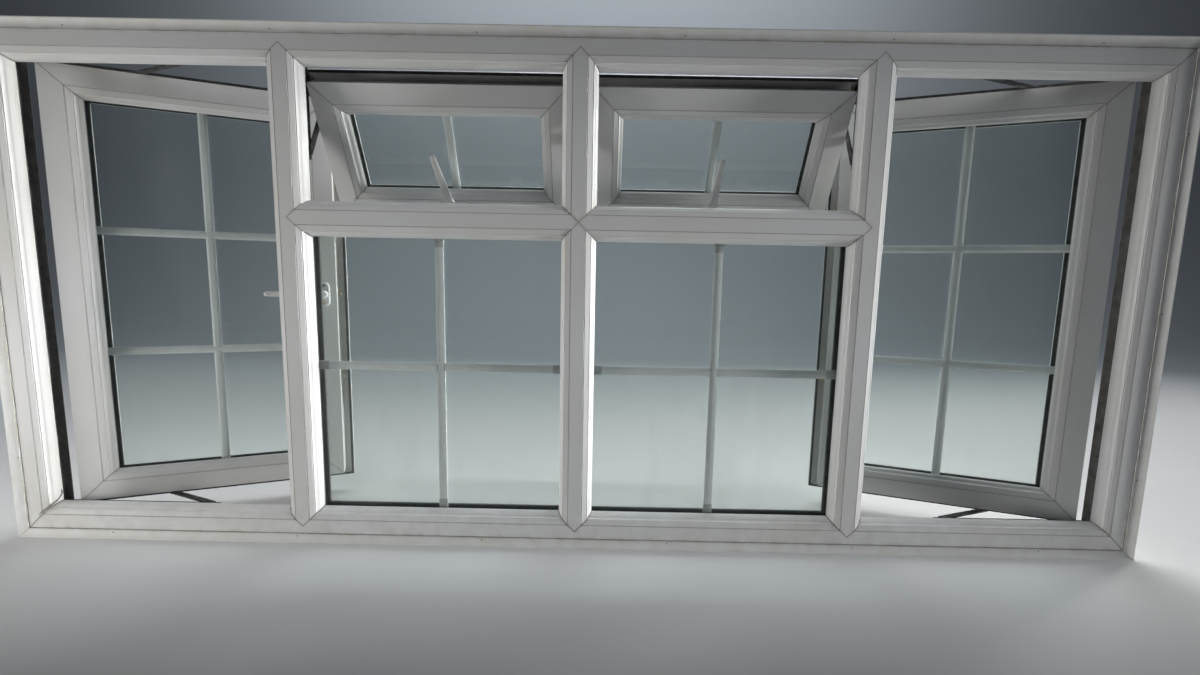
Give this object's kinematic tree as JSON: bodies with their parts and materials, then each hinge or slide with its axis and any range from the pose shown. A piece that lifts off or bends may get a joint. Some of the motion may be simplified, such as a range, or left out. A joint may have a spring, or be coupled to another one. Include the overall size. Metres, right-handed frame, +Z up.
{
  "type": "casement window",
  "caption": "White plastic casement window frame with open side casements, open top vents, fixed lights and glazing bars.",
  "frame": {"origin": "centre of the underside of the sill", "axes": "+X to the right as seen from the room, +Y outward from the room, +Z up"},
  "size_m": [2.47, 0.3065, 1.086],
  "materials": {
    "white_upvc": "satin white extruded plastic, slightly weathered",
    "white_trim": "off-white cover trim",
    "white_bar": "white coated bars inside the sealed units",
    "white_handle": "white powder coat",
    "clear_glass": "clear float glass",
    "black_rubber": "black gasket rubber",
    "stay_steel": "dulled stainless steel",
    "zinc_plate": "yellow zinc plate"
  },
  "bodies": {
    "frame": {"frame_head": "white_upvc", "frame_sill": "white_upvc", "frame_jamb_left": "white_upvc", "frame_jamb_right": "white_upvc", "mullion_left": "white_upvc", "mullion_right": "white_upvc", "mullion_centre": "white_upvc", "transom_left": "white_upvc", "transom_right": "white_upvc", "cover_trims": "white_trim", "fixed_glass": "clear_glass", "fixed_glazing_bars": "white_bar", "fixed_beads": "white_upvc", "frame_seals": "black_rubber", "stay_tracks": "stay_steel", "lock_keeps": "zinc_plate"},
    "left_casement_arms": {"left_casement_stay_arms": "stay_steel"},
    "left_casement": {"left_casement_sash": "white_upvc", "left_casement_glass": "clear_glass", "left_casement_glazing_bars": "white_bar", "left_casement_seals": "black_rubber", "left_casement_beads": "white_upvc", "left_casement_edge_gear": "zinc_plate", "left_casement_handle_base": "white_handle"},
    "left_casement_links": {"left_casement_stay_links": "stay_steel"},
    "left_casement_lever": {"left_casement_handle": "white_handle"},
    "left_casement_lock": {"left_casement_lock_rod": "zinc_plate"},
    "right_casement_arms": {"right_casement_stay_arms": "stay_steel"},
    "right_casement": {"right_casement_sash": "white_upvc", "right_casement_glass": "clear_glass", "right_casement_glazing_bars": "white_bar", "right_casement_seals": "black_rubber", "right_casement_beads": "white_upvc", "right_casement_edge_gear": "zinc_plate", "right_casement_handle_base": "white_handle"},
    "right_casement_links": {"right_casement_stay_links": "stay_steel"},
    "right_casement_lever": {"right_casement_handle": "white_handle"},
    "right_casement_lock": {"right_casement_lock_rod": "zinc_plate"},
    "left_vent_arms": {"left_vent_stay_arms": "stay_steel"},
    "left_vent": {"left_vent_sash": "white_upvc", "left_vent_glass": "clear_glass", "left_vent_glazing_bars": "white_bar", "left_vent_seals": "black_rubber", "left_vent_beads": "white_upvc", "left_vent_edge_gear": "zinc_plate", "left_vent_handle_base": "white_handle"},
    "left_vent_links": {"left_vent_stay_links": "stay_steel"},
    "left_vent_lever": {"left_vent_handle": "white_handle"},
    "left_vent_lock": {"left_vent_lock_rod": "zinc_plate"},
    "right_vent_arms": {"right_vent_stay_arms": "stay_steel"},
    "right_vent": {"right_vent_sash": "white_upvc", "right_vent_glass": "clear_glass", "right_vent_glazing_bars": "white_bar", "right_vent_seals": "black_rubber", "right_vent_beads": "white_upvc", "right_vent_edge_gear": "zinc_plate", "right_vent_handle_base": "white_handle"},
    "right_vent_links": {"right_vent_stay_links": "stay_steel"},
    "right_vent_lever": {"right_vent_handle": "white_handle"},
    "right_vent_lock": {"right_vent_lock_rod": "zinc_plate"}
  },
  "joints": [
    {"name": "left_casement_open", "type": "hinge", "parent": "frame", "child": "left_casement_arms", "pos_m": [-0.853, 0.025, 0.543], "axis": [0, 0, -1], "range_deg": [-21, 49]},
    {"name": "left_casement_sash_turn", "type": "hinge", "parent": "left_casement_arms", "child": "left_casement", "pos_m": [-1.01544, 0.08736, 0.543], "axis": [0, 0, 1], "range_deg": [-42.5, 98.5]},
    {"name": "left_casement_link_turn", "type": "hinge", "parent": "left_casement", "child": "left_casement_links", "pos_m": [-1.15548, 0.0336, 0.543], "axis": [0, 0, -1], "range_deg": [-42.5, 98.5]},
    {"name": "left_casement_handle_turn", "type": "hinge", "parent": "left_casement", "child": "left_casement_lever", "pos_m": [-0.65662, 0.18225, 0.543], "axis": [0.3584, -0.9336, 0], "range_deg": [0, 90]},
    {"name": "left_casement_lock_slide", "type": "slide", "parent": "left_casement", "child": "left_casement_lock", "axis": [0, 0, 1], "range_m": [-0.0005, 0.0185]},
    {"name": "right_casement_open", "type": "hinge", "parent": "frame", "child": "right_casement_arms", "pos_m": [0.853, 0.025, 0.543], "axis": [0, 0, 1], "range_deg": [-19, 51]},
    {"name": "right_casement_sash_turn", "type": "hinge", "parent": "right_casement_arms", "child": "right_casement", "pos_m": [1.01752, 0.08165, 0.543], "axis": [0, 0, -1], "range_deg": [-38.5, 102.5]},
    {"name": "right_casement_link_turn", "type": "hinge", "parent": "right_casement", "child": "right_casement_links", "pos_m": [1.15935, 0.03281, 0.543], "axis": [0, 0, 1], "range_deg": [-38.5, 102.5]},
    {"name": "right_casement_handle_turn", "type": "hinge", "parent": "right_casement", "child": "right_casement_lever", "pos_m": [0.6556, 0.16396, 0.543], "axis": [0.3256, 0.9455, 0], "range_deg": [-90, 0]},
    {"name": "right_casement_lock_slide", "type": "slide", "parent": "right_casement", "child": "right_casement_lock", "axis": [0, 0, 1], "range_m": [-0.0185, 0.0005]},
    {"name": "left_vent_open", "type": "hinge", "parent": "frame", "child": "left_vent_arms", "pos_m": [-0.302, 0.025, 0.854], "axis": [-1, 0, 0], "range_deg": [-27, 23]},
    {"name": "left_vent_sash_turn", "type": "hinge", "parent": "left_vent_arms", "child": "left_vent", "pos_m": [-0.302, 0.06994, 0.94221], "axis": [1, 0, 0], "range_deg": [-54.5, 46.5]},
    {"name": "left_vent_link_turn", "type": "hinge", "parent": "left_vent", "child": "left_vent_links", "pos_m": [-0.302, 0.0359, 1.00903], "axis": [-1, 0, 0], "range_deg": [-54.5, 46.5]},
    {"name": "left_vent_handle_turn", "type": "hinge", "parent": "left_vent", "child": "left_vent_lever", "pos_m": [-0.302, 0.12056, 0.75476], "axis": [0, -0.891, -0.454], "range_deg": [-13, 77]},
    {"name": "left_vent_lock_slide", "type": "slide", "parent": "left_vent", "child": "left_vent_lock", "axis": [1, 0, 0], "range_m": [-0.0031, 0.0159]},
    {"name": "right_vent_open", "type": "hinge", "parent": "frame", "child": "right_vent_arms", "pos_m": [0.302, 0.025, 0.854], "axis": [-1, 0, 0], "range_deg": [-27, 23]},
    {"name": "right_vent_sash_turn", "type": "hinge", "parent": "right_vent_arms", "child": "right_vent", "pos_m": [0.302, 0.06994, 0.94221], "axis": [1, 0, 0], "range_deg": [-54.5, 46.5]},
    {"name": "right_vent_link_turn", "type": "hinge", "parent": "right_vent", "child": "right_vent_links", "pos_m": [0.302, 0.0359, 1.00903], "axis": [-1, 0, 0], "range_deg": [-54.5, 46.5]},
    {"name": "right_vent_handle_turn", "type": "hinge", "parent": "right_vent", "child": "right_vent_lever", "pos_m": [0.302, 0.12056, 0.75476], "axis": [0, -0.891, -0.454], "range_deg": [0, 94]},
    {"name": "right_vent_lock_slide", "type": "slide", "parent": "right_vent", "child": "right_vent_lock", "axis": [1, 0, 0], "range_m": [-0.0005, 0.0185]}
  ],
  "couplings": [
    {"joint": "left_casement_sash_turn", "follows": "left_casement_open", "ratio": 2},
    {"joint": "left_casement_link_turn", "follows": "left_casement_open", "ratio": 2},
    {"joint": "left_casement_lock_slide", "follows": "left_casement_handle_turn", "m_per_rad": 0.011459},
    {"joint": "right_casement_sash_turn", "follows": "right_casement_open", "ratio": 2},
    {"joint": "right_casement_link_turn", "follows": "right_casement_open", "ratio": 2},
    {"joint": "right_casement_lock_slide", "follows": "right_casement_handle_turn", "m_per_rad": 0.011459},
    {"joint": "left_vent_sash_turn", "follows": "left_vent_open", "ratio": 2},
    {"joint": "left_vent_link_turn", "follows": "left_vent_open", "ratio": 2},
    {"joint": "left_vent_lock_slide", "follows": "left_vent_handle_turn", "m_per_rad": 0.011459},
    {"joint": "right_vent_sash_turn", "follows": "right_vent_open", "ratio": 2},
    {"joint": "right_vent_link_turn", "follows": "right_vent_open", "ratio": 2},
    {"joint": "right_vent_lock_slide", "follows": "right_vent_handle_turn", "m_per_rad": 0.010972}
  ]
}
